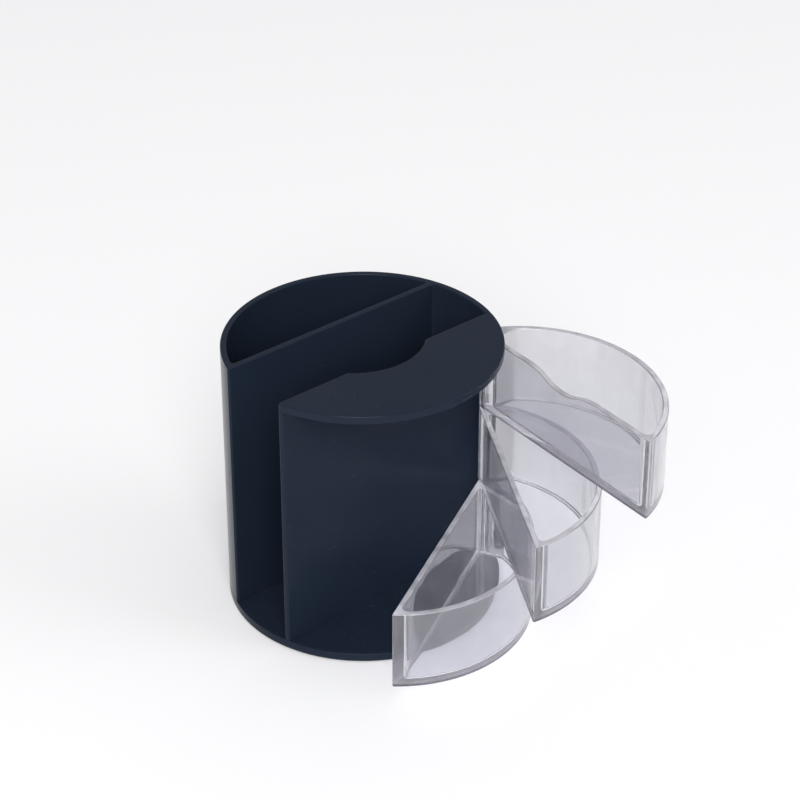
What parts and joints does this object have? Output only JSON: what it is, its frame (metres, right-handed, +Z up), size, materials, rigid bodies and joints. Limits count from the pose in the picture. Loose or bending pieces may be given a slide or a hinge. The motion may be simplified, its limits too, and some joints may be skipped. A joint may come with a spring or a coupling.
{
  "type": "pen holder",
  "caption": "Round black desk organizer with a pen well, a straight note-paper slot and clear half-moon trays that swing out of a covered bay on one upright pin.",
  "frame": {"origin": "middle of the pad's underside, on the shell's axis, at desk level", "axes": "+Z up, +X along the note slot towards its closed end, -Y towards the tray bay"},
  "size_m": [0.114, 0.148, 0.0975],
  "materials": {
    "black_plastic": "glossy moulded black, slightly blue",
    "clear_plastic": "clear moulded polystyrene, faint lavender at the edges",
    "bright_steel": "ground and polished rod",
    "zinc_steel": "zinc-plated",
    "pad_rubber": "matte non-slip sheet"
  },
  "bodies": {
    "holder": {"body_shell": "black_plastic", "bay_cover": "black_plastic", "base_plate": "black_plastic", "base_pad": "pad_rubber", "base_screws": "zinc_steel", "hinge_pin": "bright_steel"},
    "lower_tray": {"tray_lower": "clear_plastic"},
    "middle_tray": {"tray_middle": "clear_plastic"},
    "upper_tray": {"tray_upper": "clear_plastic"}
  },
  "joints": [
    {"name": "lower_tray_swing", "type": "hinge", "parent": "holder", "child": "lower_tray", "pos_m": [0.0402, -0.0174, 0.0189], "axis": [0, 0, 1], "range_deg": [-29, 87]},
    {"name": "middle_tray_swing", "type": "hinge", "parent": "holder", "child": "middle_tray", "pos_m": [0.0402, -0.0174, 0.0491], "axis": [0, 0, 1], "range_deg": [-60.5, 55.5]},
    {"name": "upper_tray_swing", "type": "hinge", "parent": "holder", "child": "upper_tray", "pos_m": [0.0402, -0.0174, 0.0793], "axis": [0, 0, 1], "range_deg": [-87, 29]}
  ]
}
